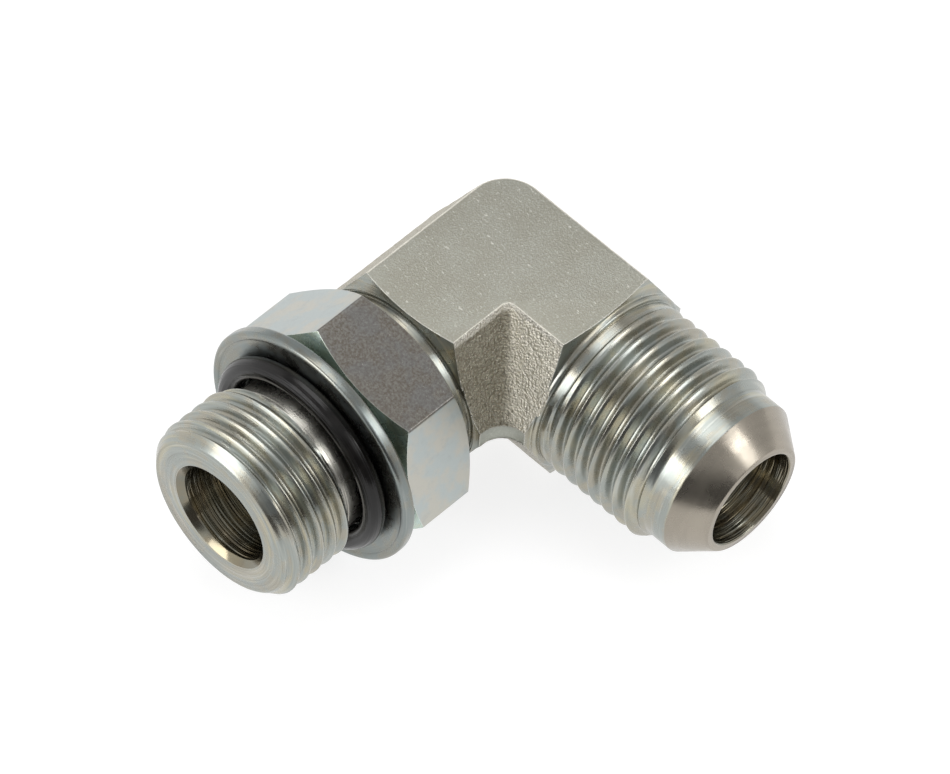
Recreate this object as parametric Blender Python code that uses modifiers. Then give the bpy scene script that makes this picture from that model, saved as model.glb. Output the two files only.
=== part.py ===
# Hydraulic elbow adapter: a flare end and an adjustable stud end at right angles.
# The flare axis is +X and the stud axis is -Y. They cross above the middle of the lower pad,
# and the file's origin is on that pad, straight below the crossing.
# Sizes are in millimetres and become metres where a mesh is made.

import math

import bmesh
import bpy
from mathutils import Matrix, Vector

MM = 0.001

# Facets in one full turn of everything that is turned or threaded
TURN_STEPS = 36

# Threads, both right-handed with 60 degree flanks
FLARE_THREAD_DIAMETER = 19.05
FLARE_PITCH = 25.4 / 16
STUD_THREAD_DIAMETER = 19.05
STUD_PITCH = 25.4 / 16
THREAD_DEPTH_PER_PITCH = 0.6134
CREST_FLAT_PER_PITCH = 0.125
FIRST_GROOVE_PER_PITCH = 0.22
THREAD_LEAD_IN = -160.0
FLANK_SLOPE = math.tan(math.radians(30))

# Forged block
PAD_RISE = 0.7
PAD_TO_OUTER_EDGE = 5.7
PAD_TO_INNER_EDGE = 5.9
PARTING_TO_OUTER_SIDE = 10.8
PARTING_TO_INNER_SIDE = 10.5
PARTING_BAND = 1.9
PAD_CORNER_RADIUS = 4.0
CROTCH_RADIUS_AT_PAD = 0.8
CROTCH_RADIUS_AT_PARTING = 2.7
PAD_EDGE_BREAK = 0.28
FLARE_ARM_LENGTH = 14.05
STUD_ARM_LENGTH = 13.95
ARM_STOCK = 3.0
HEEL_STEPS = 8
CROTCH_STEPS = 4

# Shoulder turned on the end of each arm
SHOULDER_RIM = 0.4
SHOULDER_ROUND = 0.3
SHOULDER_ROUND_STEPS = 2
FLARE_FACE_SLOPE = 0.28
STUD_FACE_SLOPE = 0.44
FLARE_PAD_SETBACK = 0.6
STUD_PAD_SETBACK = 0.15

# Flare end
FLARE_COLLAR_LENGTH = 1.15
FLARE_COLLAR_DROP = 0.14
FLARE_THREAD_LENGTH = 10.4
FLARE_THREAD_CHAMFER = 1.4
FLARE_LAND_DROP = 0.08
FLARE_LAND_LENGTH = 2.6
FLARE_ANGLE = 37.0
FLARE_NOSE_RIM = 0.8
FLARE_MOUTH_BREAK = 0.12

# Stud end
STUD_COLLAR_LENGTH = 1.25
STUD_COLLAR_DROP = 0.04
SEAL_NECK_DROP = 0.25
REAR_THREAD_LENGTH = 7.6
SEAL_NECK_LENGTH = 6.6
FRONT_THREAD_LENGTH = 8.27
STUD_TIP_CHAMFER = 1.06
THREAD_START_CHAMFER = 0.55
STUD_MOUTH_CHAMFER = 0.6

# Passages
FLARE_BORE = 10.4
STUD_BORE = 10.4
DRILL_POINT_ANGLE = 118.0

# Lock nut
NUT_WALL = 1.52
NUT_LENGTH = 9.0
NUT_GAP_TO_BLOCK = 1.4
NUT_CHAMFER_ANGLE = 30.0
NUT_REAR_MARGIN = 0.5
NUT_FRONT_MARGIN = 1.35
NUT_TURN = 12.7
NUT_COUNTERSINK = 1.6
NUT_FRONT_COUNTERSINK = 0.4
THREAD_FLANK_GAP = 0.17
THREAD_RADIAL_GAP = 0.22

# Backup washer and O-ring
WASHER_GAP = 0.3
WASHER_THICKNESS = 1.3
WASHER_WIDTH = 4.3
WASHER_RIM_ROUND = 0.35
WASHER_ROUND_STEPS = 3
WASHER_RIM_STEP = 0.14
WASHER_RIM_WIDTH = 0.75
SEAT_GAP = 0.3
RING_SECTION = 2.25
RING_GAP = 0.1
RING_SECTION_STEPS = 12

# Cutters reach this far past the metal they cut, and cut edges this close are one edge
OVERCUT = 0.6
WELD_DISTANCE = 0.002
RUN_OUT_TURN = 0.3

# Radii that follow from the threads
flare_radius = FLARE_THREAD_DIAMETER / 2
flare_root = flare_radius - THREAD_DEPTH_PER_PITCH * FLARE_PITCH
flare_collar = flare_radius - FLARE_COLLAR_DROP
flare_land = flare_root - FLARE_LAND_DROP
stud_radius = STUD_THREAD_DIAMETER / 2
stud_root = stud_radius - THREAD_DEPTH_PER_PITCH * STUD_PITCH
stud_collar = stud_radius - STUD_COLLAR_DROP
seal_neck = stud_root - SEAL_NECK_DROP
pad_height = max(flare_radius, stud_radius) + PAD_RISE

# Places along the flare axis, measured from the crossing of the two axes
flare_thread_start = FLARE_ARM_LENGTH + FLARE_COLLAR_LENGTH
flare_thread_end = flare_thread_start + FLARE_THREAD_LENGTH
flare_land_start = flare_thread_end + FLARE_THREAD_CHAMFER
flare_cone_start = flare_land_start + FLARE_LAND_LENGTH
nose_radius = FLARE_BORE / 2 + FLARE_NOSE_RIM
flare_tip = flare_cone_start + (flare_land - nose_radius) / math.tan(math.radians(FLARE_ANGLE))

# Places along the stud axis
rear_thread_start = STUD_ARM_LENGTH + STUD_COLLAR_LENGTH
rear_thread_end = rear_thread_start + REAR_THREAD_LENGTH
front_thread_start = rear_thread_end + SEAL_NECK_LENGTH
stud_tip = front_thread_start + FRONT_THREAD_LENGTH

# Places of the loose pieces along the stud axis
nut_rear = STUD_ARM_LENGTH + NUT_GAP_TO_BLOCK
nut_front = nut_rear + NUT_LENGTH
washer_rear = nut_front + WASHER_GAP
washer_front = washer_rear + WASHER_THICKNESS
washer_face = washer_front - WASHER_RIM_STEP
ring_centre = washer_face + RING_GAP + RING_SECTION / 2

# Frames, each seen from the crossing: a turned profile stands on Z and is laid along its arm
CROSSING = Matrix.Translation((0, 0, pad_height * MM))
FLARE_AXIS = Matrix.Rotation(math.radians(90), 4, "Y")
STUD_AXIS = Matrix.Rotation(math.radians(90), 4, "X")


def clear_scene():
    """Start from an empty file, whatever the default scene holds."""
    for item in list(bpy.data.objects):
        bpy.data.objects.remove(item, do_unlink=True)


def add_collection(name):
    """Make a collection and hang it under the scene."""
    collection = bpy.data.collections.new(name)
    bpy.context.scene.collection.children.link(collection)
    return collection


def metal(name, colour, roughness):
    """A plated metal surface."""
    return surface(name, colour, roughness, 1.0)


def surface(name, colour, roughness, metallic):
    """A Principled material with its three main values."""
    material = bpy.data.materials.new(name)
    material.use_nodes = True
    shader = material.node_tree.nodes["Principled BSDF"]
    shader.inputs["Base Color"].default_value = (*colour, 1.0)
    shader.inputs["Roughness"].default_value = roughness
    shader.inputs["Metallic"].default_value = metallic
    return material


def add_object(name, bm, collection, frame=Matrix.Identity(4)):
    """Turn a bmesh in millimetres into an object in metres, laid in its axis frame."""
    bmesh.ops.recalc_face_normals(bm, faces=bm.faces)
    bm.transform(Matrix.Scale(MM, 4) @ frame)
    mesh = bpy.data.meshes.new(name)
    bm.to_mesh(mesh)
    bm.free()
    item = bpy.data.objects.new(name, mesh)
    item.matrix_world = CROSSING
    collection.objects.link(item)
    return item


def as_cutter(item):
    """Show a cutting tool as wire and keep it out of renders."""
    item.display_type = "WIRE"
    item.hide_render = True
    return item


def boolean(target, tool, operation):
    """Add one exact Boolean step to the target, and weld the hairline edges that it leaves."""
    step = target.modifiers.new(tool.name, "BOOLEAN")
    step.operation = operation
    step.solver = "EXACT"
    step.object = tool
    weld = target.modifiers.new(tool.name + "_weld", "WELD")
    weld.merge_threshold = WELD_DISTANCE * MM


def turned(name, profile, collection, frame, closed=False):
    """Revolve a profile once round its axis.

    Its (radius, along) points run out from the low end and back in at the high end.
    """
    bm = bmesh.new()
    points = [bm.verts.new((radius, 0, along)) for radius, along in profile]
    for start, end in zip(points, points[1:]):
        bm.edges.new((start, end))
    if closed:
        bm.edges.new((points[-1], points[0]))
    mesh = bpy.data.meshes.new(name)
    bm.to_mesh(mesh)
    bm.free()
    blank = bpy.data.objects.new(name, mesh)
    blank.matrix_world = CROSSING @ Matrix.Scale(MM, 4) @ frame
    collection.objects.link(blank)
    screw = blank.modifiers.new("turn", "SCREW")
    screw.axis = "Z"
    screw.steps = TURN_STEPS
    screw.render_steps = TURN_STEPS
    screw.use_merge_vertices = True
    screw.merge_threshold = 0.0001
    screw.use_normal_flip = True
    return blank


def helix(name, section, start, turns, collection, frame, pitch, run_out=0.0, lead_in=0.0):
    """Sweep a closed section of (radius, along) points along a right-handed helix.

    The start is its place at angle zero, and lead_in is the angle where the sweep begins.
    With run_out, the first stretch rises by that height, as a tool leaves the metal.
    """
    bm = bmesh.new()
    fade = RUN_OUT_TURN * TURN_STEPS
    rings = []
    for step in range(math.ceil(turns * TURN_STEPS) + 1):
        angle = math.radians(lead_in) + math.tau * step / TURN_STEPS
        rise = run_out * max(0.0, 1.0 - step / fade)
        along = start + pitch * angle / math.tau
        turn = Matrix.Rotation(angle, 3, "Z")
        rings.append([bm.verts.new(turn @ Vector((r + rise, 0, along + z))) for r, z in section])
    count = len(section)
    for ring, following in zip(rings, rings[1:]):
        for i in range(count):
            j = (i + 1) % count
            bm.faces.new((ring[i], ring[j], following[j], following[i]))
    bm.faces.new(rings[0])
    bm.faces.new(rings[-1])
    return as_cutter(add_object(name, bm, collection, frame))


def groove_section(radius, pitch):
    """Section of the tool that cuts an outside thread, wider than the crest is high."""
    depth = THREAD_DEPTH_PER_PITCH * pitch
    half_at_crest = pitch * (1 - CREST_FLAT_PER_PITCH) / 2
    half_at_root = half_at_crest - depth * FLANK_SLOPE
    lip = CREST_FLAT_PER_PITCH * pitch / 4
    half_at_lip = half_at_crest + lip * FLANK_SLOPE
    return [
        (radius - depth, -half_at_root),
        (radius - depth, half_at_root),
        (radius + lip, half_at_lip),
        (radius + OVERCUT, half_at_lip),
        (radius + OVERCUT, -half_at_lip),
        (radius + lip, -half_at_lip),
    ]


def tap_section(radius, pitch):
    """Section of the tap that cuts the nut: the stud's tooth with clearance all round."""
    tip = radius + THREAD_RADIAL_GAP
    base = radius - THREAD_DEPTH_PER_PITCH * pitch - OVERCUT / 4
    half_at_crest = pitch * CREST_FLAT_PER_PITCH / 2 + THREAD_FLANK_GAP
    half_at_tip = half_at_crest - THREAD_RADIAL_GAP * FLANK_SLOPE
    half_at_base = half_at_crest + (radius - base) * FLANK_SLOPE
    return [(base, -half_at_base), (base, half_at_base), (tip, half_at_tip), (tip, -half_at_tip)]


def arc(centre, radius, start, end, steps):
    """Points on a flat arc, both ends included, angles in degrees."""
    points = []
    for i in range(steps + 1):
        angle = math.radians(start + (end - start) * i / steps)
        points.append((centre[0] + radius * math.cos(angle), centre[1] + radius * math.sin(angle)))
    return points


def plan_outline(outer, inner, corner_radius, crotch_radius):
    """Plan of the block at one height: two arms, a rounded heel and a filleted crotch.

    Outer and inner are how far the sides stand from the axes, away from and in the crotch.
    """
    flare_reach = FLARE_ARM_LENGTH + ARM_STOCK
    stud_reach = STUD_ARM_LENGTH + ARM_STOCK
    crotch = (inner + crotch_radius, -inner - crotch_radius)
    heel = (corner_radius - outer, outer - corner_radius)
    outline = [(flare_reach, outer)]
    outline += arc(heel, corner_radius, 90, 180, HEEL_STEPS)
    outline += [(-outer, -stud_reach), (inner, -stud_reach)]
    outline += arc(crotch, crotch_radius, 180, 90, CROTCH_STEPS)
    outline += [(flare_reach, -inner)]
    return outline


def forging(collection):
    """Loft the block through its pads, draft faces and the trimmed band at the parting line."""
    heel_at_parting = PAD_CORNER_RADIUS + PARTING_TO_OUTER_SIDE - PAD_TO_OUTER_EDGE
    pad = (PAD_TO_OUTER_EDGE - PAD_EDGE_BREAK, PAD_TO_INNER_EDGE - PAD_EDGE_BREAK,
           PAD_CORNER_RADIUS - PAD_EDGE_BREAK, CROTCH_RADIUS_AT_PAD)
    edge = (PAD_TO_OUTER_EDGE, PAD_TO_INNER_EDGE, PAD_CORNER_RADIUS, CROTCH_RADIUS_AT_PAD)
    parting = (PARTING_TO_OUTER_SIDE, PARTING_TO_INNER_SIDE, heel_at_parting,
               CROTCH_RADIUS_AT_PARTING)
    half_band = PARTING_BAND / 2
    edge_height = pad_height - PAD_EDGE_BREAK / 2
    levels = [
        (-pad_height, pad),
        (-edge_height, edge),
        (-half_band, parting),
        (half_band, parting),
        (edge_height, edge),
        (pad_height, pad),
    ]
    bm = bmesh.new()
    rings = []
    for height, sizes in levels:
        verts = [bm.verts.new((x, y, height)) for x, y in plan_outline(*sizes)]
        rings.append([bm.edges.new(pair) for pair in zip(verts, verts[1:] + verts[:1])])
    for lower, upper in zip(rings, rings[1:]):
        bmesh.ops.bridge_loops(bm, edges=lower + upper)
    bmesh.ops.contextual_create(bm, geom=rings[0])
    bmesh.ops.contextual_create(bm, geom=rings[-1])
    return add_object("elbow_body", bm, collection)


def turning_envelope(name, arm_length, pad_setback, slope, collection, frame):
    """What the lathe leaves of an arm: faced pads, a rounded shoulder, and all behind them."""
    shoulder = max(flare_radius, stud_radius) + SHOULDER_RIM
    pad_end = arm_length - pad_setback
    outer = pad_height + ARM_STOCK
    far = pad_height + PARTING_TO_OUTER_SIDE
    clear = PARTING_TO_INNER_SIDE + CROTCH_RADIUS_AT_PARTING
    rounding = (shoulder - SHOULDER_ROUND, arm_length - SHOULDER_ROUND)
    profile = [
        (0, -far),
        (2 * far, -far),
        (2 * far, clear - SHOULDER_ROUND),
        (far, clear),
        (outer, pad_end - ARM_STOCK * slope),
        (shoulder, pad_end + (pad_height - shoulder) * slope),
        *arc(rounding, SHOULDER_ROUND, 0, 90, SHOULDER_ROUND_STEPS),
        (0, arm_length),
    ]
    return as_cutter(turned(name, profile, collection, frame))


def flare_spigot(collection):
    """Turned flare end: collar, thread stock, land and cone, rooted inside the block."""
    profile = [
        (0, FLARE_ARM_LENGTH - SHOULDER_ROUND),
        (flare_collar, FLARE_ARM_LENGTH - SHOULDER_ROUND),
        (flare_collar, flare_thread_start),
        (flare_radius, flare_thread_start + FLARE_COLLAR_DROP),
        (flare_radius, flare_thread_end),
        (flare_land, flare_land_start),
        (flare_land, flare_cone_start),
        (nose_radius, flare_tip),
        (0, flare_tip),
    ]
    return as_cutter(turned("flare_spigot", profile, collection, FLARE_AXIS))


def stud_spigot(collection):
    """Turned stud end: collar, two lengths of thread stock, a seal neck and a chamfered tip."""
    lead = THREAD_START_CHAMFER
    rise = stud_radius - seal_neck
    profile = [
        (0, STUD_ARM_LENGTH - SHOULDER_ROUND),
        (stud_collar, STUD_ARM_LENGTH - SHOULDER_ROUND),
        (stud_collar, rear_thread_start),
        (stud_radius, rear_thread_start + STUD_COLLAR_DROP),
        (stud_radius, rear_thread_end - lead),
        (seal_neck, rear_thread_end),
        (seal_neck, front_thread_start),
        (seal_neck + rise / 2, front_thread_start + lead / 4),
        (stud_radius, front_thread_start + lead),
        (stud_radius, stud_tip - STUD_TIP_CHAMFER),
        (stud_radius - STUD_TIP_CHAMFER, stud_tip),
        (0, stud_tip),
    ]
    return as_cutter(turned("stud_spigot", profile, collection, STUD_AXIS))


def bore_tool(name, radius, mouth, depth, collection, frame):
    """Drill with a pointed end just past the crossing, and a countersink at the mouth."""
    point = radius / math.tan(math.radians(DRILL_POINT_ANGLE / 2))
    profile = [
        (0, -point),
        (radius, 0),
        (radius, depth - mouth),
        (radius + mouth + OVERCUT, depth + OVERCUT),
        (0, depth + OVERCUT),
    ]
    return as_cutter(turned(name, profile, collection, frame))


def elbow_body(parts, cutters, material):
    """The forging, turned, threaded and drilled in the order of the real work."""
    body = forging(parts)
    body.data.materials.append(material)
    flare_turning = turning_envelope("flare_turning", FLARE_ARM_LENGTH, FLARE_PAD_SETBACK,
                                     FLARE_FACE_SLOPE, cutters, FLARE_AXIS)
    boolean(body, flare_turning, "INTERSECT")
    stud_turning = turning_envelope("stud_turning", STUD_ARM_LENGTH, STUD_PAD_SETBACK,
                                    STUD_FACE_SLOPE, cutters, STUD_AXIS)
    boolean(body, stud_turning, "INTERSECT")
    boolean(body, flare_spigot(cutters), "UNION")
    boolean(body, stud_spigot(cutters), "UNION")

    flare_groove = groove_section(flare_radius, FLARE_PITCH)
    flare_start = flare_thread_start + FLARE_PITCH * FIRST_GROOVE_PER_PITCH
    lead_in_turns = -THREAD_LEAD_IN / 360
    flare_turns = (flare_land_start - flare_start) / FLARE_PITCH + lead_in_turns
    thread_height = THREAD_DEPTH_PER_PITCH * FLARE_PITCH + OVERCUT / 4
    flare_cutter = helix("flare_thread", flare_groove, flare_start, flare_turns, cutters,
                         FLARE_AXIS, FLARE_PITCH, thread_height, THREAD_LEAD_IN)
    boolean(body, flare_cutter, "DIFFERENCE")

    stud_groove = groove_section(stud_radius, STUD_PITCH)
    rear_turns = (rear_thread_end - rear_groove_start()) / STUD_PITCH + lead_in_turns + 1
    thread_height = THREAD_DEPTH_PER_PITCH * STUD_PITCH + OVERCUT / 4
    rear_cutter = helix("rear_thread", stud_groove, rear_groove_start(), rear_turns, cutters,
                        STUD_AXIS, STUD_PITCH, thread_height, THREAD_LEAD_IN)
    boolean(body, rear_cutter, "DIFFERENCE")
    front_start = front_thread_start - STUD_PITCH
    front_turns = FRONT_THREAD_LENGTH / STUD_PITCH + 2
    front_cutter = helix("front_thread", stud_groove, front_start, front_turns, cutters,
                         STUD_AXIS, STUD_PITCH)
    boolean(body, front_cutter, "DIFFERENCE")

    flare_drill = bore_tool("flare_bore", FLARE_BORE / 2, FLARE_MOUTH_BREAK, flare_tip, cutters,
                            FLARE_AXIS)
    boolean(body, flare_drill, "DIFFERENCE")
    stud_drill = bore_tool("stud_bore", STUD_BORE / 2, STUD_MOUTH_CHAMFER, stud_tip, cutters,
                           STUD_AXIS)
    boolean(body, stud_drill, "DIFFERENCE")
    return body


def rear_groove_start():
    """Centre of the first groove on the rear thread, which the nut's tooth follows."""
    return rear_thread_start + STUD_PITCH * FIRST_GROOVE_PER_PITCH


def lock_nut(parts, cutters, material):
    """Hexagon, chamfered at both ends by one turned envelope, then drilled and tapped."""
    flats = stud_radius + NUT_WALL
    corners = flats / math.cos(math.radians(30))
    bm = bmesh.new()
    place = Matrix.Translation((0, 0, (nut_rear + nut_front) / 2))
    bmesh.ops.create_cone(bm, cap_ends=True, segments=6, radius1=corners, radius2=corners,
                          depth=NUT_LENGTH, matrix=place)
    bm.transform(Matrix.Rotation(math.radians(NUT_TURN), 4, "Z"))
    nut = add_object("lock_nut", bm, parts, STUD_AXIS)
    nut.data.materials.append(material)

    rear_face = flats - NUT_REAR_MARGIN
    front_face = flats - NUT_FRONT_MARGIN
    slope = math.tan(math.radians(NUT_CHAMFER_ANGLE))
    wide = corners + OVERCUT
    chamfers = [
        (0, nut_rear),
        (rear_face, nut_rear),
        (wide, nut_rear + (wide - rear_face) * slope),
        (wide, nut_front - (wide - front_face) * slope),
        (front_face, nut_front),
        (0, nut_front),
    ]
    boolean(nut, as_cutter(turned("nut_chamfers", chamfers, cutters, STUD_AXIS)), "INTERSECT")

    minor = stud_root + THREAD_RADIAL_GAP
    relief = stud_radius + THREAD_RADIAL_GAP + THREAD_FLANK_GAP
    hole = [
        (0, nut_rear - OVERCUT),
        (relief + OVERCUT, nut_rear - OVERCUT),
        (relief, nut_rear),
        (relief, nut_rear + NUT_COUNTERSINK - (relief - minor) * slope),
        (minor, nut_rear + NUT_COUNTERSINK),
        (minor, nut_front - NUT_FRONT_COUNTERSINK),
        (minor + NUT_FRONT_COUNTERSINK + OVERCUT, nut_front + OVERCUT),
        (0, nut_front + OVERCUT),
    ]
    boolean(nut, as_cutter(turned("nut_hole", hole, cutters, STUD_AXIS)), "DIFFERENCE")

    tap = tap_section(stud_radius, STUD_PITCH)
    phase = rear_groove_start() - STUD_PITCH / 2
    start = phase + math.floor((nut_rear - phase) / STUD_PITCH - 1) * STUD_PITCH
    turns = (nut_front - start) / STUD_PITCH + 1
    boolean(nut, helix("nut_tap", tap, start, turns, cutters, STUD_AXIS, STUD_PITCH), "DIFFERENCE")
    return nut


def backup_washer(parts, material):
    """Flat ring with a rounded rim and a low step just inside it on the port side."""
    inner = seal_neck + SEAT_GAP
    outer = inner + WASHER_WIDTH
    rounding = WASHER_RIM_ROUND
    step = outer - WASHER_RIM_WIDTH
    profile = [
        (inner, washer_rear),
        *arc((outer - rounding, washer_rear + rounding), rounding, -90, 0, WASHER_ROUND_STEPS),
        *arc((outer - rounding, washer_front - rounding), rounding, 0, 90, WASHER_ROUND_STEPS),
        (step, washer_front),
        (step - WASHER_RIM_STEP, washer_face),
        (inner, washer_face),
    ]
    washer = turned("backup_washer", profile, parts, STUD_AXIS, closed=True)
    washer.data.materials.append(material)
    return washer


def o_ring(parts, material):
    """Round rubber section seated on the neck, against the washer."""
    section = RING_SECTION / 2
    centre_radius = seal_neck + SEAT_GAP + section
    profile = [(centre_radius + x, ring_centre + y)
               for x, y in arc((0, 0), section, 0, 360, RING_SECTION_STEPS)[:-1]]
    ring = turned("o_ring", profile, parts, STUD_AXIS, closed=True)
    ring.data.materials.append(material)
    return ring


def main():
    clear_scene()
    parts = add_collection("hydraulic_elbow_adapter")
    cutters = add_collection("cutters")
    body_steel = metal("forged_plated_steel", (0.45, 0.44, 0.40), 0.38)
    nut_steel = metal("plated_nut_steel", (0.47, 0.48, 0.47), 0.34)
    washer_steel = metal("plated_washer_steel", (0.55, 0.58, 0.58), 0.28)
    rubber = surface("black_rubber", (0.016, 0.015, 0.015), 0.45, 0.0)
    elbow_body(parts, cutters, body_steel)
    lock_nut(parts, cutters, nut_steel)
    backup_washer(parts, washer_steel)
    o_ring(parts, rubber)


main()
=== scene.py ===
# %% [markdown]
# # Hydraulic elbow adapter
#
# A hydraulic elbow adapter turns a hose through ninety degrees and screws it into a port.
# One end is a flare end, with a 37 degree cone that a tube nut pulls its tube onto. The other
# is an adjustable stud end: a lock nut, a backup washer and a rubber seal ring sit on it, and
# the nut clamps the washer and the ring to the port once the elbow points the right way.
#
# The frame gives the four solids at their real size, in metres. This lesson builds a finer
# skin for each of them, with true thread shapes and soft edges, and then gives each one the
# finish that it has in the shop: blasted forging, lathe marks, zinc plating and black rubber.

import math

import bmesh
import bpy
import numpy as np
from mathutils import Matrix, Vector, noise


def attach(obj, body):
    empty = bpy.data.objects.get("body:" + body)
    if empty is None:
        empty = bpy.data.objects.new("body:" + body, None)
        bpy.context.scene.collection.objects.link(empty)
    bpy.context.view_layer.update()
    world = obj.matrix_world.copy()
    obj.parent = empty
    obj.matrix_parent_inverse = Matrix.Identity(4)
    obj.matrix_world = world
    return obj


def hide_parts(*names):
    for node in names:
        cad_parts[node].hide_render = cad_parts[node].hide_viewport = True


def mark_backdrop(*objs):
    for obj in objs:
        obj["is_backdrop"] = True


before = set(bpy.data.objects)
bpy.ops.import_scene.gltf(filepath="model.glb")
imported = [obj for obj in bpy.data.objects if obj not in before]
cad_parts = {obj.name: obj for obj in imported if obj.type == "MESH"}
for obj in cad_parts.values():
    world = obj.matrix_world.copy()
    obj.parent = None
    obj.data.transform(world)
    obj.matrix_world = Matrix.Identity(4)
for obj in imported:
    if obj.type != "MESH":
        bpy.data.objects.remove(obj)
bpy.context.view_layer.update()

# %% [markdown]
# ## Where things are
#
# The file's origin is on the lower pad, straight below the point where the two axes cross.
# Everything turned is easier to draw about its own axis, so each profile stands on a local Z
# axis and is laid along its arm by a matrix. Sizes are in millimetres until a mesh is made.

# %% Frames and shared sizes
MM = 0.001
AXIS_HEIGHT = 10.225
CROSSING = Matrix.Translation((0, 0, AXIS_HEIGHT))
FLARE_AXIS = Matrix.Rotation(math.radians(90), 4, "Y")
STUD_AXIS = Matrix.Rotation(math.radians(90), 4, "X")

TURN_COLUMNS = 168
PITCH = 25.4 / 16
THREAD_RADIUS = 19.05 / 2
THREAD_DEPTH = 0.6134 * PITCH
ROOT_RADIUS = THREAD_RADIUS - THREAD_DEPTH
BORE_RADIUS = 5.2
print(f"thread: radius {THREAD_RADIUS:.3f}, root {ROOT_RADIUS:.3f}, pitch {PITCH:.4f}")

# %% [markdown]
# ## Tools for making meshes
#
# Three small tools do most of the modelling. The first turns lists of points and faces into
# an object. The second joins or cuts two closed solids; Blender's Manifold solver is quick
# and exact on them, and the result is kept as a plain mesh. The third shades round surfaces
# smooth and leaves real edges sharp.

# %% Mesh tools
def named_finish(name):
    """A material by name, made empty the first time it is asked for."""
    return bpy.data.materials.get(name) or bpy.data.materials.new(name)


def make_piece(name, points, faces, place=None, material_index=0, finishes=()):
    """A closed mesh from points in millimetres, laid in the frame in metres."""
    mesh = bpy.data.meshes.new(name)
    for finish in finishes:
        mesh.materials.append(named_finish(finish))
    mesh.from_pydata(points, [], faces)
    bm = bmesh.new()
    bm.from_mesh(mesh)
    bmesh.ops.remove_doubles(bm, verts=bm.verts, dist=0.0015)
    bmesh.ops.dissolve_degenerate(bm, edges=bm.edges, dist=0.0005)
    bmesh.ops.recalc_face_normals(bm, faces=bm.faces)
    for face in bm.faces:
        face.material_index = material_index
    matrix = Matrix.Scale(MM, 4) @ CROSSING @ (place or Matrix.Identity(4))
    bm.transform(matrix)
    bm.to_mesh(mesh)
    bm.free()
    item = bpy.data.objects.new(name, mesh)
    bpy.context.scene.collection.objects.link(item)
    return item


def combine(target, tool, operation):
    """Union, difference or intersection of two closed solids; the tool is used up."""
    for finish in target.data.materials:
        tool.data.materials.append(finish)
    step = target.modifiers.new("combine", "BOOLEAN")
    step.operation = operation
    step.solver = "MANIFOLD"
    step.object = tool
    graph = bpy.context.evaluated_depsgraph_get()
    result = bpy.data.meshes.new_from_object(target.evaluated_get(graph))
    target.modifiers.clear()
    old = target.data
    result.name = old.name
    target.data = result
    bpy.data.meshes.remove(old)
    bpy.data.objects.remove(tool, do_unlink=True)
    return target


def shade(item, sharp_angle=32.0):
    """Smooth shading with sharp edges where two faces meet at more than the angle."""
    item.data.polygons.foreach_set("use_smooth", [True] * len(item.data.polygons))
    item.data.set_sharp_from_angle(angle=math.radians(sharp_angle))


def arc(centre, radius, start, end, steps):
    """Points on a flat arc, both ends included, angles in degrees."""
    angles = np.radians(np.linspace(start, end, steps + 1))
    return [(centre[0] + radius * math.cos(a), centre[1] + radius * math.sin(a)) for a in angles]


print("mesh tools:", [tool.__name__ for tool in (make_piece, combine, shade, arc)])

# %% [markdown]
# ## Turning
#
# A lathe makes surfaces of revolution, so a turned piece is a profile of (radius, along)
# points swept round an axis. The sweep is written out by hand, ring by ring, because the same
# columns then carry the thread, and neighbouring rings share their points exactly.

# %% Turned solids
def ring_points(radii, alongs):
    """Points of rings: each row of radii and places along the axis, at every column's angle."""
    angles = np.arange(TURN_COLUMNS) * math.tau / TURN_COLUMNS
    x = radii * np.cos(angles)
    y = radii * np.sin(angles)
    z = np.broadcast_to(alongs, x.shape)
    return np.stack([x, y, z], axis=-1).reshape(-1, 3)


def band_faces(rows, first=0):
    """Faces between neighbouring rings."""
    column = np.arange(TURN_COLUMNS)
    beside = (column + 1) % TURN_COLUMNS
    base = first + np.arange(rows - 1)[:, None] * TURN_COLUMNS
    quads = np.stack([base + column, base + beside,
                      base + beside + TURN_COLUMNS, base + column + TURN_COLUMNS], axis=-1)
    return quads.reshape(-1, 4).tolist()


def turned(name, profile, place, material_index=0, closed=False):
    """A solid of revolution. An open profile runs from the axis back to the axis."""
    rows = [p for p in profile if p[0] > 0]
    radii = np.array([[p[0]] for p in rows])
    alongs = np.array([[p[1]] for p in rows])
    if closed:
        radii = np.vstack([radii, radii[:1]])
        alongs = np.vstack([alongs, alongs[:1]])
    points = ring_points(np.repeat(radii, TURN_COLUMNS, 1), np.repeat(alongs, TURN_COLUMNS, 1))
    faces = band_faces(len(radii))
    if not closed:
        last = (len(radii) - 1) * TURN_COLUMNS
        faces.append(list(range(TURN_COLUMNS))[::-1])
        faces.append(list(range(last, last + TURN_COLUMNS)))
    return make_piece(name, points.tolist(), faces, place, material_index)


print(f"every turned piece has {TURN_COLUMNS} columns, one each {360 / TURN_COLUMNS:.2f} degrees")

# %% [markdown]
# ## The screw thread
#
# These threads are rolled: hard dies press the grooves in and push the metal up into crests.
# The crest keeps a fine seam where the two flanks of flow meet, and the root is rounded.
# Cutting such a thread with a Boolean leaves hard, ragged edges, so the thread is a height
# map instead: rings that climb with the helix, and a radius that is read off the section.
# The section is half a groove, from the middle of its root to the seam on the crest.

# %% Thread section
SECTION_FRACTION = [0, 0.07, 0.125, 0.175, 0.31, 0.385, 0.420, 0.447, 0.470, 0.5]
SECTION_DEPTH = [0.90, 0.88, 0.80, 0.68, 0.30, 0.115, 0.048, 0.008, 0.0, 0.024]


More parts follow.
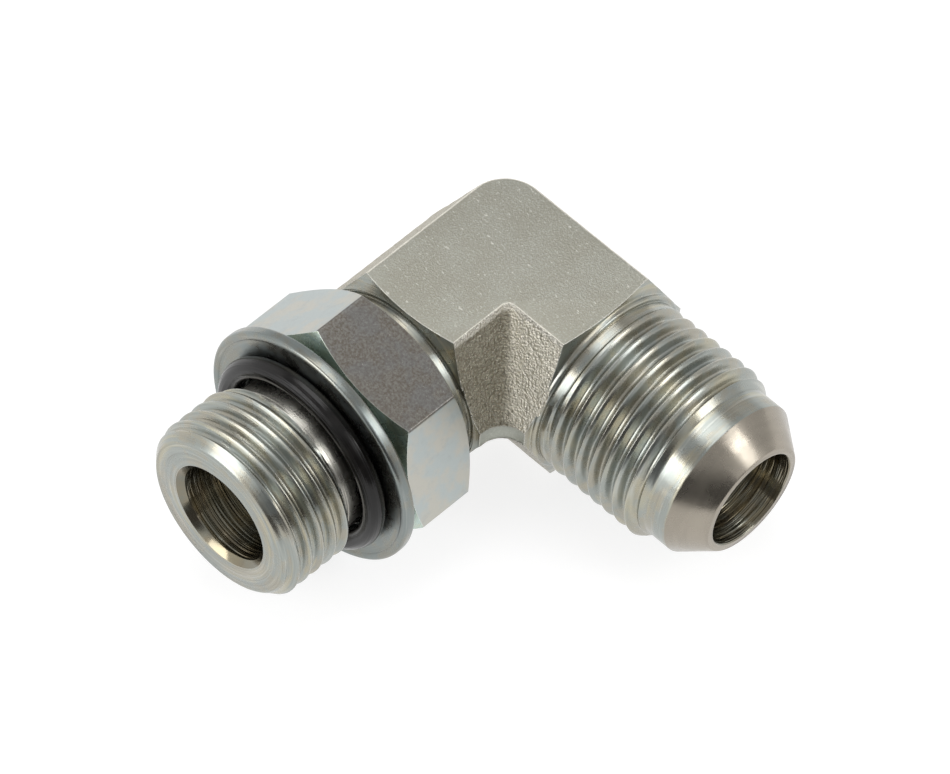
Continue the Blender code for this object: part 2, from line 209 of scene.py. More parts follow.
def groove_depth(along, angle, first, lead_in, run_out):
    """Depth of a right-handed groove below the crest; it starts at lead_in turns and deepens."""
    turns = (along - first) / PITCH - angle / math.tau
    nearest = np.round(turns)
    fraction = np.abs(turns - nearest)
    depth = THREAD_DEPTH * np.interp(fraction, SECTION_FRACTION, SECTION_DEPTH)
    travelled = nearest + angle / math.tau - lead_in
    rise = np.interp(travelled, [0, run_out], [THREAD_DEPTH, 0])
    return np.where(travelled < 0, 0, np.maximum(depth - rise, 0))


print(f"groove {THREAD_DEPTH:.3f} mm deep, drawn with {len(SECTION_FRACTION)} points a flank")

# %% [markdown]
# ## The threaded bar
#
# The rows of the thread climb by one pitch in each turn, so the end of one turn's rows meets
# the start of the next one's. Row by row the faces join neighbours, and along the seam they
# join each row to the row one turn further on. Plain rings close the bar before and after.

# %% Thread surface
ROW_GAP = 0.01
NO_LEAD_IN = -9.0


def radius_at(profile, along):
    """The profile's radius at a place, or at many places, along the axis."""
    return np.interp(along, [p[1] for p in profile], [p[0] for p in profile])


def plain_ring(radius, along):
    """One ring that doesn't climb with the helix."""
    return ring_points(np.full((1, TURN_COLUMNS), radius), np.full((1, TURN_COLUMNS), along))


def helix_rows(low, high):
    """Places along the axis of rows that climb with the helix, clipped to the threaded length."""
    steps = SECTION_FRACTION + [1 - f for f in SECTION_FRACTION[-2:0:-1]]
    turns = math.ceil((high - low) / PITCH) + 2
    starts = [low - PITCH + PITCH * (turn + step) for turn in range(turns) for step in steps]
    climb = PITCH * np.arange(TURN_COLUMNS) / TURN_COLUMNS
    return np.clip(np.array(starts)[:, None] + climb, low, high), len(steps)


def threaded(name, profile, span, first, place, lead_in=NO_LEAD_IN, run_out=0.3, crest=THREAD_RADIUS,
             material_index=0):
    """A turned bar with a rolled thread over span = (low, high).

    The first groove's centre is at `first` along the axis at angle zero.
    """
    low, high = span
    before = [p for p in profile if p[1] < low - ROW_GAP]
    after = [p for p in profile if p[1] > high + ROW_GAP]
    before.append((radius_at(profile, low), low))
    after.insert(0, (radius_at(profile, high), high))
    alongs, per_turn = helix_rows(low, high)
    angle = np.broadcast_to(np.arange(TURN_COLUMNS) * math.tau / TURN_COLUMNS, alongs.shape)
    cut = groove_depth(alongs, angle, first, lead_in, run_out)
    radii = np.minimum(radius_at(profile, alongs), crest - cut)
    points = [plain_ring(radius, along) for radius, along in before]
    points.append(ring_points(radii, alongs))
    points += [plain_ring(radius, along) for radius, along in after]
    head_rows = len(before)
    faces = band_faces(head_rows)
    start = head_rows * TURN_COLUMNS
    rows = len(alongs)
    column = np.arange(TURN_COLUMNS - 1)
    base = start + np.arange(rows - 1)[:, None] * TURN_COLUMNS
    quads = np.stack([base + column, base + column + 1,
                      base + column + 1 + TURN_COLUMNS, base + column + TURN_COLUMNS], axis=-1)
    faces += quads.reshape(-1, 4).tolist()
    seam = start + np.arange(rows - 1 - per_turn) * TURN_COLUMNS
    last = TURN_COLUMNS - 1
    shift = per_turn * TURN_COLUMNS
    quads = np.stack([seam + last, seam + shift, seam + shift + TURN_COLUMNS,
                      seam + last + TURN_COLUMNS], axis=-1)
    faces += quads.tolist()
    tail = start + rows * TURN_COLUMNS
    faces += band_faces(len(after), tail)
    end = tail + (len(after) - 1) * TURN_COLUMNS
    faces.append(list(range(TURN_COLUMNS))[::-1])
    faces.append(list(range(end, end + TURN_COLUMNS)))
    return make_piece(name, np.vstack(points).tolist(), faces, place, material_index)


print("rows in one turn of thread:", helix_rows(0, PITCH)[1])

# %% [markdown]
# ## The forged block
#
# The block is hot steel pressed between two dies. Each die needs draft, so the sides lean in
# from the parting line towards the pads, and a trimmed band with a small burr is left where
# the dies met. The block is a loft: one plan of the two arms is drawn for each height, with
# the same number of points, and the plans are joined from the lower pad to the upper one.
# A little noise moves the sides, because forged scale never comes out flat.

# %% Plans of the block
FLARE_ARM = 14.05
STUD_ARM = 13.95
ARM_STOCK = 3.0
PAD_OUTER, PAD_INNER = 5.7, 5.9
PARTING_OUTER, PARTING_INNER = 10.8, 10.5
PAD_CORNER = 4.0
EDGE_BREAK = 0.28
CROTCH_AT_PAD = 0.8
CROTCH_AT_PARTING = 2.7
BAND_HALF = 0.95
SIDE_STEPS, OUTER_STEPS, END_STEPS, HEEL_STEPS, CROTCH_STEPS = 36, 40, 12, 28, 14
DRAFT_LEVELS = 30
BROAD_DENT, FINE_DENT = 0.055, 0.03
ELBOW_FINISHES = ("blasted_forging", "turned_flare_end", "turned_stud_end",
                  "drilled_flare_bore", "drilled_stud_bore")


def straight(start, end, steps):
    """Points on a line, without its last one."""
    return [(start[0] + (end[0] - start[0]) * i / steps, start[1] + (end[1] - start[1]) * i / steps)
            for i in range(steps)]


def block_plan(outer, inner, corner, crotch):
    """The two arms seen from above, with a rounded heel and a filleted crotch."""
    flare_reach, stud_reach = FLARE_ARM + ARM_STOCK, STUD_ARM + ARM_STOCK
    heel = (corner - outer, outer - corner)
    fillet = (inner + crotch, -inner - crotch)
    outline = straight((flare_reach, outer), (heel[0], outer), SIDE_STEPS)
    outline += arc(heel, corner, 90, 180, HEEL_STEPS)[:-1]
    outline += straight((-outer, heel[1]), (-outer, -stud_reach), OUTER_STEPS)
    outline += straight((-outer, -stud_reach), (inner, -stud_reach), END_STEPS)
    outline += straight((inner, -stud_reach), (inner, fillet[1]), SIDE_STEPS)
    outline += arc(fillet, crotch, 180, 90, CROTCH_STEPS)[:-1]
    outline += straight((fillet[0], -inner), (flare_reach, -inner), SIDE_STEPS)
    outline += straight((flare_reach, -inner), (flare_reach, outer), END_STEPS)
    return outline


def block_levels():
    """(height, share of the draft, growth, roughness) of each plan from the parting line up."""
    levels = [(0.0, 1.0, 0.0, 0.2), (BAND_HALF - 0.16, 1.0, 0.01, 0.3),
              (BAND_HALF, 1.0, 0.07, 0.7), (BAND_HALF + 0.10, 1.0, -0.02, 0.8)]
    top = AXIS_HEIGHT - EDGE_BREAK / 2
    for share in np.linspace(0.95, 0.0, DRAFT_LEVELS):
        height = BAND_HALF + (top - BAND_HALF) * (1 - share)
        levels.append((height, share, 0.0, 1.0 if share > 0.05 else 0.5))
    levels += [(AXIS_HEIGHT - 0.065, 0.0, -0.06, 0.4),
               (AXIS_HEIGHT - 0.018, 0.0, -0.16, 0.2),
               (AXIS_HEIGHT, 0.0, -EDGE_BREAK, 0.0)]
    return levels


def forged_block():
    """Loft the plans, press the noise into the sides and close both pads."""
    upper = block_levels()
    levels = [(-h, s, g, r) for h, s, g, r in upper[:0:-1]] + upper
    rings = []
    for height, share, growth, rough in levels:
        outer = PAD_OUTER + (PARTING_OUTER - PAD_OUTER) * share + growth
        inner = PAD_INNER + (PARTING_INNER - PAD_INNER) * share + growth
        corner = PAD_CORNER + outer - PAD_OUTER
        crotch = CROTCH_AT_PAD + (CROTCH_AT_PARTING - CROTCH_AT_PAD) * share
        ring = []
        plan = block_plan(outer, inner, corner, crotch)
        for i, (x, y) in enumerate(plan):
            ahead, behind = plan[(i + 1) % len(plan)], plan[i - 1]
            out = Vector((behind[1] - ahead[1], ahead[0] - behind[0], 0))
            out = out.normalized() if out.length > 0 else out
            at = Vector((x, y, height))
            push = BROAD_DENT * noise.noise(at * 0.9) + FINE_DENT * noise.noise(at * 2.1)
            ring.append(tuple(at + out * push * rough))
        rings.append(ring)
    count = len(rings[0])
    points = [p for ring in rings for p in ring]
    faces = []
    for level in range(len(rings) - 1):
        for i in range(count):
            j = (i + 1) % count
            a, b = level * count, (level + 1) * count
            faces.append((a + i, a + j, b + j, b + i))
    faces.append(tuple(range(count)))
    faces.append(tuple(range(len(points) - count, len(points))))
    return make_piece("elbow", points, faces, finishes=ELBOW_FINISHES)


elbow = forged_block()
print("block:", len(elbow.data.polygons), "faces")

# %% [markdown]
# ## Facing the arms
#
# The lathe faces the end of each arm: it leaves a round shoulder and cuts the pads' corners
# to a shallow cone. One envelope per arm holds everything that the tool leaves, and the block
# is intersected with both. The tool's material comes along, so the cut faces look turned.

# %% Turned shoulders
SHOULDER_RADIUS = THREAD_RADIUS + 0.4
SHOULDER_ROUND = 0.3


def arm_envelope(name, arm, setback, slope, place, material_index):
    """What the lathe leaves of one arm, and everything behind it."""
    far = AXIS_HEIGHT + PARTING_OUTER
    clear = PARTING_INNER + CROTCH_AT_PARTING
    pad_end = arm - setback
    profile = [
        (2 * far, -far),
        (2 * far, clear - SHOULDER_ROUND),
        (far, clear),
        (AXIS_HEIGHT + ARM_STOCK, pad_end - ARM_STOCK * slope),
        (SHOULDER_RADIUS + 0.06, pad_end + (AXIS_HEIGHT - SHOULDER_RADIUS - 0.06) * slope),
        (SHOULDER_RADIUS, pad_end + (AXIS_HEIGHT - SHOULDER_RADIUS) * slope + 0.05),
        *arc((SHOULDER_RADIUS - SHOULDER_ROUND, arm - SHOULDER_ROUND), SHOULDER_ROUND, 0, 90, 6),
    ]
    return turned(name, profile, place, material_index)


combine(elbow, arm_envelope("flare_facing", FLARE_ARM, 0.6, 0.28, FLARE_AXIS, 1), "INTERSECT")
combine(elbow, arm_envelope("stud_facing", STUD_ARM, 0.15, 0.44, STUD_AXIS, 2), "INTERSECT")
print("block after facing:", len(elbow.data.polygons), "faces")

# %% [markdown]
# ## The two threaded ends
#
# The flare end has a smooth collar, the thread, a plain land and the sealing cone. The stud
# end has a collar under the nut, a rear thread for the nut, a smooth neck where the seal ring
# sits, and a front thread that goes into the port. Both are joined to the block by a union,
# so that the elbow is one body, as the forging is.

# %% Flare end and stud end
GROOVE_START = 0.22 * PITCH
LEAD_IN = -160 / 360
FLARE_COLLAR = THREAD_RADIUS - 0.14
FLARE_LAND = ROOT_RADIUS - 0.08
FLARE_THREAD_START = FLARE_ARM + 1.15
FLARE_THREAD_END = FLARE_THREAD_START + 10.4
FLARE_LAND_START = FLARE_THREAD_END + 1.4
FLARE_CONE_START = FLARE_LAND_START + 2.6
NOSE_RADIUS = BORE_RADIUS + 0.8
FLARE_TIP = FLARE_CONE_START + (FLARE_LAND - NOSE_RADIUS) / math.tan(math.radians(37))

flare_profile = [
    (FLARE_COLLAR, FLARE_ARM - 0.5),
    (FLARE_COLLAR, FLARE_THREAD_START - 0.05),
    (FLARE_COLLAR + 0.03, FLARE_THREAD_START),
    (THREAD_RADIUS, FLARE_THREAD_START + 0.14),
    (THREAD_RADIUS, FLARE_THREAD_END),
    (FLARE_LAND + 0.03, FLARE_LAND_START - 0.03),
    (FLARE_LAND, FLARE_LAND_START + 0.05),
    (FLARE_LAND, FLARE_CONE_START - 0.06),
    (FLARE_LAND - 0.02, FLARE_CONE_START + 0.01),
    (NOSE_RADIUS + 0.08, FLARE_TIP - 0.11),
    (NOSE_RADIUS, FLARE_TIP - 0.03),
    (NOSE_RADIUS - 0.06, FLARE_TIP),
]
flare_end = threaded("flare_end", flare_profile, (FLARE_ARM - 0.4, FLARE_LAND_START + 0.3),
                     FLARE_THREAD_START + GROOVE_START, FLARE_AXIS, LEAD_IN, material_index=1)
combine(elbow, flare_end, "UNION")

SEAL_NECK = ROOT_RADIUS - 0.25
NECK_RELIEF = 0.08
STUD_COLLAR = THREAD_RADIUS - 0.04
REAR_START = STUD_ARM + 1.25
REAR_END = REAR_START + 7.6
FRONT_START = REAR_END + 6.6
STUD_TIP = FRONT_START + 8.27
TIP_CHAMFER = 1.06
THREAD_LEAD = 0.55
rear_profile = [
    (STUD_COLLAR, STUD_ARM - 0.5),
    (STUD_COLLAR, REAR_START),
    (THREAD_RADIUS, REAR_START + 0.04),
    (THREAD_RADIUS, REAR_END - THREAD_LEAD),
    (SEAL_NECK + 0.08, REAR_END - 0.05),
    (SEAL_NECK - NECK_RELIEF, REAR_END + 0.16),
    (SEAL_NECK - NECK_RELIEF, FRONT_START - 0.6),
]
rear_end = threaded("rear_end", rear_profile, (STUD_ARM - 0.4, REAR_END + 0.3),
                    REAR_START + GROOVE_START, STUD_AXIS, LEAD_IN, material_index=2)
combine(elbow, rear_end, "UNION")

front_profile = [
    (SEAL_NECK - NECK_RELIEF - 0.05, FRONT_START - 1.4),
    (SEAL_NECK - NECK_RELIEF - 0.04, FRONT_START - 0.16),
    (SEAL_NECK - 0.03, FRONT_START - 0.05),
    (SEAL_NECK + 0.70, FRONT_START + 0.10),
    (THREAD_RADIUS, FRONT_START + THREAD_LEAD),
    (THREAD_RADIUS, STUD_TIP - TIP_CHAMFER),
    (THREAD_RADIUS - TIP_CHAMFER + 0.08, STUD_TIP - 0.09),
    (THREAD_RADIUS - TIP_CHAMFER, STUD_TIP - 0.02),
    (THREAD_RADIUS - TIP_CHAMFER - 0.05, STUD_TIP),
]
stud_end = threaded("front_end", front_profile, (FRONT_START - 0.5, STUD_TIP - 0.05),
                    FRONT_START - PITCH, STUD_AXIS, material_index=2)
combine(elbow, stud_end, "UNION")
print(f"flare tip at {FLARE_TIP:.2f} mm, stud tip at {STUD_TIP:.2f} mm")

# %% [markdown]
# ## Drilling
#
# Each passage is a plain drilled hole with a 118 degree point, and the two meet inside the
# block. The mouths get a chamfer so that no burr can tear a seal.

# %% Bores
def drill(name, depth, chamfer, place, material_index):
    """The space that a drill and a countersink take out."""
    point = BORE_RADIUS / math.tan(math.radians(59))
    over = 0.6
    profile = [(0.05, -point), (BORE_RADIUS, 0.0), (BORE_RADIUS, depth - chamfer - 0.04),
               (BORE_RADIUS + 0.03, depth - chamfer + 0.02),
               (BORE_RADIUS + chamfer + over, depth + over)]
    return turned(name, profile, place, material_index)


combine(elbow, drill("flare_drill", FLARE_TIP, 0.12, FLARE_AXIS, 3), "DIFFERENCE")
combine(elbow, drill("stud_drill", STUD_TIP, 0.6, STUD_AXIS, 4), "DIFFERENCE")
shade(elbow)
print("elbow:", len(elbow.data.polygons), "faces")

# %% [markdown]
# ## Lock nut
#
# The nut is cut from hexagon bar and turned at both ends, which takes the corners off in a
# 30 degree cone and leaves the curved edges on its flats. Inside it is drilled, countersunk
# and tapped. The tap here is the stud's own thread with a little clearance, taken away from
# the hexagon, so the two fit each other like real ones.

# %% Nut
NUT_FLATS = THREAD_RADIUS + 1.52
NUT_CORNERS = NUT_FLATS / math.cos(math.radians(30))
NUT_REAR = STUD_ARM + 1.4
NUT_FRONT = NUT_REAR + 9.0
NUT_TURN = 12.7
NUT_SLOPE = math.tan(math.radians(30))
RADIAL_GAP = 0.22
FLANK_GAP = 0.17
CORNER_ROUND = 0.22
REAR_TURNED, FRONT_TURNED = 0.5, 1.35
RELIEF_DEPTH = 1.6
NUT_FINISHES = ("drawn_hexagon_flats", "turned_nut_ends")


def hexagon_bar(low, high, corner_round):
    """Hexagon bar with slightly rounded corners."""
    outline = []
    for corner in range(6):
        middle = math.radians(30 + NUT_TURN + 60 * corner)
        centre_distance = (NUT_FLATS - corner_round) / math.cos(math.radians(30))
        centre = (centre_distance * math.cos(middle), centre_distance * math.sin(middle))
        start = math.degrees(middle) - 30
        outline += arc(centre, corner_round, start, start + 60, 4)
    count = len(outline)
    points = [(x, y, z) for z in (low, high) for x, y in outline]
    faces = [(i, (i + 1) % count, (i + 1) % count + count, i + count) for i in range(count)]
    faces += [tuple(range(count))[::-1], tuple(range(count, 2 * count))]
    return make_piece("nut", points, faces, STUD_AXIS, finishes=NUT_FINISHES)


nut = hexagon_bar(NUT_REAR, NUT_FRONT, CORNER_ROUND)
rear_face = NUT_FLATS - REAR_TURNED
front_face = NUT_FLATS - FRONT_TURNED
wide = NUT_CORNERS + 0.6
chamfers = turned("nut_chamfers", [
    (rear_face - 0.1, NUT_REAR),
    (rear_face, NUT_REAR + 0.02),
    (wide, NUT_REAR + (wide - rear_face) * NUT_SLOPE),
    (wide, NUT_FRONT - (wide - front_face) * NUT_SLOPE),
    (front_face, NUT_FRONT - 0.02),
    (front_face - 0.1, NUT_FRONT),
], STUD_AXIS, 1)
combine(nut, chamfers, "INTERSECT")

minor = ROOT_RADIUS + RADIAL_GAP
relief = THREAD_RADIUS + RADIAL_GAP + FLANK_GAP
hole = turned("nut_hole", [
    (relief + 0.6, NUT_REAR - 0.6),
    (relief, NUT_REAR),
    (relief, NUT_REAR + RELIEF_DEPTH - (relief - minor) * NUT_SLOPE),
    (minor, NUT_REAR + RELIEF_DEPTH),
    (minor, NUT_FRONT - 0.4),
    (minor + 1.0, NUT_FRONT + 0.6),
], STUD_AXIS, 1)
combine(nut, hole, "DIFFERENCE")
tap_radius = THREAD_RADIUS + RADIAL_GAP
tap_profile = [(tap_radius, NUT_REAR - 1.0), (tap_radius, NUT_FRONT + 1.0)]
tap = threaded("nut_tap", tap_profile, (NUT_REAR - 0.5, NUT_FRONT + 0.5),
               REAR_START + GROOVE_START, STUD_AXIS, crest=tap_radius, material_index=1)
combine(nut, tap, "DIFFERENCE")
shade(nut)
print("nut:", len(nut.data.polygons), "faces")

# %% [markdown]
# ## Backup washer and seal ring
#
# The washer is a thick turned ring. A low step inside its rim stops the rubber from creeping
# out under pressure. The seal ring is moulded in two halves, which leaves a fine flash line
# round its outside.

# %% Washer and ring
WASHER_REAR = NUT_FRONT + 0.3
WASHER_FRONT = WASHER_REAR + 1.3
WASHER_INNER = SEAL_NECK + 0.3
WASHER_OUTER = WASHER_INNER + 4.3
RIM_ROUND = 0.35
RIM_STEP = 0.14
RIM_WIDTH = 0.75
step_radius = WASHER_OUTER - RIM_WIDTH

washer = turned("washer", [
    (WASHER_INNER, WASHER_REAR + 0.08),
    (WASHER_INNER + 0.08, WASHER_REAR),
    *arc((WASHER_OUTER - RIM_ROUND, WASHER_REAR + RIM_ROUND), RIM_ROUND, -90, 0, 6),
    *arc((WASHER_OUTER - RIM_ROUND, WASHER_FRONT - RIM_ROUND), RIM_ROUND, 0, 90, 6),
    (step_radius + 0.03, WASHER_FRONT),
    (step_radius - 0.04, WASHER_FRONT - 0.03),
    (step_radius - RIM_STEP, WASHER_FRONT - RIM_STEP + 0.01),
    (step_radius - RIM_STEP - 0.06, WASHER_FRONT - RIM_STEP),
    (WASHER_INNER + 0.08, WASHER_FRONT - RIM_STEP),
    (WASHER_INNER, WASHER_FRONT - RIM_STEP - 0.08),
], STUD_AXIS, closed=True)
shade(washer)

RING_RADIUS = 1.08
FLASH = 0.03
ring_centre = (WASHER_INNER + RING_RADIUS - 0.04, WASHER_FRONT - RIM_STEP + 0.03 + RING_RADIUS)
ring_profile = []
for x, y in arc(ring_centre, RING_RADIUS, 0, 360, 48)[:-1]:
    bearing = math.degrees(math.atan2(y - ring_centre[1], x - ring_centre[0]))
    flash = FLASH if abs(bearing) < 2 else 0.0
    ring_profile.append((x + flash, y))
seal = turned("seal_ring", ring_profile, STUD_AXIS, closed=True)
shade(seal, 60)
ring_front = ring_centre[1] + RING_RADIUS
print(f"washer {WASHER_REAR:.2f} to {WASHER_FRONT:.2f} mm, seal ring to {ring_front:.2f} mm")

# %% [markdown]
# ## Tools for materials
#
# A material is a small network of nodes. These helpers add one node at a time: inputs are
# given by name, and an input can be a number, a colour or the output of another node. All the
# patterns are procedural and read the piece's own coordinates, in millimetres from the
# crossing of the two axes, so they keep their real size and move with the piece.

# %% Material tools
class Finish:
    """A material under construction."""

    def __init__(self, name):
        self.material = named_finish(name)
        self.material.use_nodes = True
        self.tree = self.material.node_tree
        self.shader = self.tree.nodes["Principled BSDF"]
        place = self.add("ShaderNodeTexCoord").outputs["Object"]
        scaled = self.vector("MULTIPLY", place, (1 / MM, 1 / MM, 1 / MM))
        self.place = self.vector("SUBTRACT", scaled, (0, 0, AXIS_HEIGHT))
        self.x, self.y, self.z = self.split(self.place)

    def set(self, socket, value):
        """Give an input a value, or link it to an output."""
        if isinstance(value, bpy.types.NodeSocket):
            self.tree.links.new(value, socket)
        else:
            socket.default_value = value

    def add(self, kind, inputs=None, **settings):
        """Add a node, set its settings and its inputs."""
        made = self.tree.nodes.new(kind)
        for key, value in settings.items():
            setattr(made, key, value)
        for key, value in (inputs or {}).items():
            self.set(made.inputs[key], value)
        return made

    def math(self, operation, *values, clamp=False):
        made = self.add("ShaderNodeMath", operation=operation, use_clamp=clamp)
        for socket, value in zip(made.inputs, values):
            self.set(socket, value)
        return made.outputs[0]

    def vector(self, operation, *values):
        made = self.add("ShaderNodeVectorMath", operation=operation)
        for socket, value in zip(made.inputs, values):
            self.set(socket, value)
        return made.outputs["Value" if operation in ("LENGTH", "DOT_PRODUCT") else "Vector"]

    def split(self, value):
        return self.add("ShaderNodeSeparateXYZ", {0: value}).outputs

    def join(self, x, y, z):
        return self.add("ShaderNodeCombineXYZ", {0: x, 1: y, 2: z}).outputs[0]

    def noise(self, scale, detail=2.0, roughness=0.5, at=None, distortion=0.0):
        """Soft noise from 0 to 1; the scale is in bumps per millimetre."""
        inputs = {"Vector": at or self.place, "Scale": scale, "Detail": detail,
                  "Roughness": roughness, "Distortion": distortion}
        return self.add("ShaderNodeTexNoise", inputs).outputs[0]

    def cells(self, scale, at=None):
        """Distance from the middle of the nearest pebble, in pebble widths."""
        inputs = {"Vector": at or self.place, "Scale": scale}
        return self.add("ShaderNodeTexVoronoi", inputs).outputs["Distance"]

    def shifted(self, x, y, z):
        """The place moved aside, so that a second noise doesn't repeat the first."""
        return self.vector("ADD", self.place, (x, y, z))

    def ramp(self, value, low, high, to_low=0.0, to_high=1.0):
        """Stretch a range of values onto another one, smoothly."""
        inputs = {"Value": value, "From Min": low, "From Max": high, "To Min": to_low, "To Max": to_high}
        return self.add("ShaderNodeMapRange", inputs, interpolation_type="SMOOTHSTEP").outputs[0]

    def mix(self, factor, first, second):
        """Blend two colours."""
        made = self.add("ShaderNodeMix", data_type="RGBA")
        self.set(made.inputs["Factor"], factor)
        self.set(made.inputs[6], first)
        self.set(made.inputs[7], second)
        return made.outputs[2]

    def bump(self, height, distance, strength=1.0, normal=None):
        """Press a height in millimetres into the surface."""
        inputs = {"Height": height, "Distance": distance * MM, "Strength": strength}
        if normal is not None:
            inputs["Normal"] = normal
        return self.add("ShaderNodeBump", inputs).outputs[0]

    def edges(self, radius):
        """Rounded normal at the edges, and how much it leans away from the true one."""
        rounded = self.add("ShaderNodeBevel", {"Radius": radius * MM}, samples=6).outputs[0]
        true = self.add("ShaderNodeNewGeometry").outputs["Normal"]
        lean = self.math("SUBTRACT", 1.0, self.vector("DOT_PRODUCT", rounded, true))
        return rounded, lean


STEEL_WARM = (0.362, 0.346, 0.290, 1)
STEEL_COOL = (0.335, 0.357, 0.335, 1)
STEEL_BRIGHT = (0.680, 0.670, 0.620, 1)
STEEL_BROWN = (0.200, 0.172, 0.125, 1)
print("steel goes from warm", STEEL_WARM[:3], "to cool", STEEL_COOL[:3])

# %% [markdown]
# ## Blasted forging
#
# Before plating, the forging is blasted with fine shot. The pads were pressed against smooth
# die faces and show a close grain with bright flecks. The draft faces were rougher from the
# start and keep a pebbled skin, with brown dirt low in the pits. The band at the parting line
# was sheared by the trimming tool, so it is smoother, and the arrises round the pads are worn
# bright. One material does them all: the normal and the height say which face it is on.
#
# Two tones in it are matched to the photograph and aren't known of the real skin: side
# faces that look towards the stud end are painted paler, a painted light, and the sides below
# the band, which lean downwards, are painted darker, a painted shade.

# %% Forged skin
PAD_GREY = (0.365, 0.358, 0.306, 1)
PAD_PALE = (0.398, 0.396, 0.348, 1)
GRAIN_DARK = (0.27, 0.26, 0.21, 1)
PIT_BROWN = (0.24, 0.225, 0.18, 1)
SMUDGE_BROWN = (0.25, 0.24, 0.19, 1)
SIDE_SKIN = (0.49, 0.445, 0.345, 1)
# A painted light: this pale colour brightens the side faces that look towards the stud end.
PAINTED_LIGHT_PALE = (0.96, 0.92, 0.80, 1)
# A painted shade: this brown darkens the side faces that lean downwards.
PAINTED_SHADE_BROWN = (0.150, 0.135, 0.105, 1)
TRIMMED_GREY = (0.42, 0.44, 0.39, 1)
ARRIS_BRIGHT = (0.80, 0.77, 0.69, 1)


def forged_skin():
    skin = Finish("blasted_forging")
    normal = skin.split(skin.add("ShaderNodeNewGeometry").outputs["Normal"])
    upward = skin.math("ABSOLUTE", normal[2])
    height = skin.math("ABSOLUTE", skin.z)
    side = skin.ramp(upward, 0.98, 0.85)
    band = skin.math("MULTIPLY", skin.ramp(height, BAND_HALF + 0.04, BAND_HALF - 0.12), side)
    rough_side = skin.math("SUBTRACT", side, band)

    grain = skin.noise(4.6, 3.0, 0.7)
    fine = skin.noise(11.0, 2.0, 0.6)
    broad = skin.noise(0.22, 3.0, 0.6)
    pebbles = skin.cells(4.0)
    lumps = skin.noise(1.9, 4.0, 0.65, distortion=0.3)
    flecks = skin.noise(1.0, 2.0, 0.55, at=skin.vector("MULTIPLY", skin.shifted(31, 7, 3), (1.6, 3.8, 3.2)))
    bright_flecks = skin.ramp(flecks, 0.65, 0.74)
    smudges = skin.ramp(skin.noise(0.55, 4.0, 0.7, at=skin.shifted(11, 5, 23)), 0.62, 0.74)
    pits = skin.ramp(skin.noise(2.6, 2.0, 0.55, at=skin.shifted(3, 17, 9)), 0.30, 0.22)

    colour = skin.mix(skin.ramp(broad, 0.35, 0.65), PAD_GREY, PAD_PALE)
    colour = skin.mix(skin.ramp(grain, 0.36, 0.66, 0.36, 0.0), colour, GRAIN_DARK)
    colour = skin.mix(skin.math("MULTIPLY", pits, 0.5), colour, PIT_BROWN)
    colour = skin.mix(skin.math("MULTIPLY", smudges, 0.35), colour, SMUDGE_BROWN)
    colour = skin.mix(skin.math("MULTIPLY", bright_flecks, 0.8), colour, STEEL_BRIGHT)
    colour = skin.mix(skin.math("MULTIPLY", rough_side, 0.55), colour, SIDE_SKIN)
    dirt = skin.math("MULTIPLY", skin.ramp(skin.math("ADD", pebbles, lumps), 0.84, 1.26), rough_side)
    colour = skin.mix(skin.math("MULTIPLY", dirt, 0.48), colour, STEEL_BROWN)
    tops = skin.math("MULTIPLY", skin.ramp(pebbles, 0.22, 0.05), rough_side)
    colour = skin.mix(skin.math("MULTIPLY", tops, 0.22), colour, STEEL_BRIGHT)
    # Painted light: side faces that look towards the stud end are painted pale.
    blasted_and_painted_light = skin.math("MULTIPLY", skin.ramp(normal[1], -0.45, -0.85), rough_side)
    colour = skin.mix(skin.math("MULTIPLY", blasted_and_painted_light, 0.90), colour, PAINTED_LIGHT_PALE)
    # Painted shade: side faces that lean downwards are painted dark brown.
    painted_shade_below = skin.math("MULTIPLY", skin.ramp(normal[2], -0.15, -0.40), rough_side)
    colour = skin.mix(skin.math("MULTIPLY", painted_shade_below, 0.62), colour, PAINTED_SHADE_BROWN)
    colour = skin.mix(skin.math("MULTIPLY", band, 0.6), colour, TRIMMED_GREY)
    rounded, lean = skin.edges(0.22)
    ragged = skin.math("ADD", lean, skin.ramp(grain, 0.3, 0.7, -0.03, 0.05))
    colour = skin.mix(skin.ramp(ragged, 0.025, 0.08, 0.0, 0.9), colour, STEEL_BRIGHT)
    ragged_height = skin.math("MULTIPLY_ADD", lumps, 0.55, height)
    ragged_height = skin.math("MULTIPLY_ADD", skin.ramp(normal[0], 0.3, 0.8), 0.16, ragged_height)
    arris = skin.math("MULTIPLY", skin.ramp(ragged_height, AXIS_HEIGHT - 0.22, AXIS_HEIGHT + 0.02),
                      skin.ramp(upward, 0.993, 0.955))
    colour = skin.mix(skin.math("MULTIPLY", arris, 0.95), colour, ARRIS_BRIGHT)
    skin.set(skin.shader.inputs["Base Color"], colour)
    skin.shader.inputs["Metallic"].default_value = 1.0
    gloss = skin.ramp(fine, 0.3, 0.7, 0.36, 0.52)
    skin.set(skin.shader.inputs["Roughness"], skin.math("MULTIPLY_ADD", rough_side, -0.05, gloss))

    pad_height = skin.math("ADD", skin.math("MULTIPLY", grain, 0.6), skin.math("MULTIPLY", fine, 0.4))
    pad_bump = skin.bump(pad_height, 0.075, 0.9, rounded)
    domes = skin.math("SUBTRACT", lumps, skin.math("MULTIPLY", pebbles, 0.55))
    side_height = skin.math("MULTIPLY", domes, rough_side)
    skin.set(skin.shader.inputs["Normal"], skin.bump(side_height, 0.62, 1.0, pad_bump))
    return skin.material


print("forged skin:", len(forged_skin().node_tree.nodes), "nodes")

# %% [markdown]
# ## Turned and rolled steel
#
# A lathe tool leaves fine rings round the axis. They are far too fine to model, so they are
# a bump: noise that changes quickly along the axis and slowly round it. On a flat end face
# the rings run round the centre, so the pattern reads the sum of the place along the axis and
# the distance from it, which follows the tool on cylinders, cones and faces alike. The rings
# also blur every reflection across themselves and leave it crisp along themselves, which is
# what makes a turned face gleam in streaks. The zinc over it takes warm and cool tints in
# broad, soft patches.

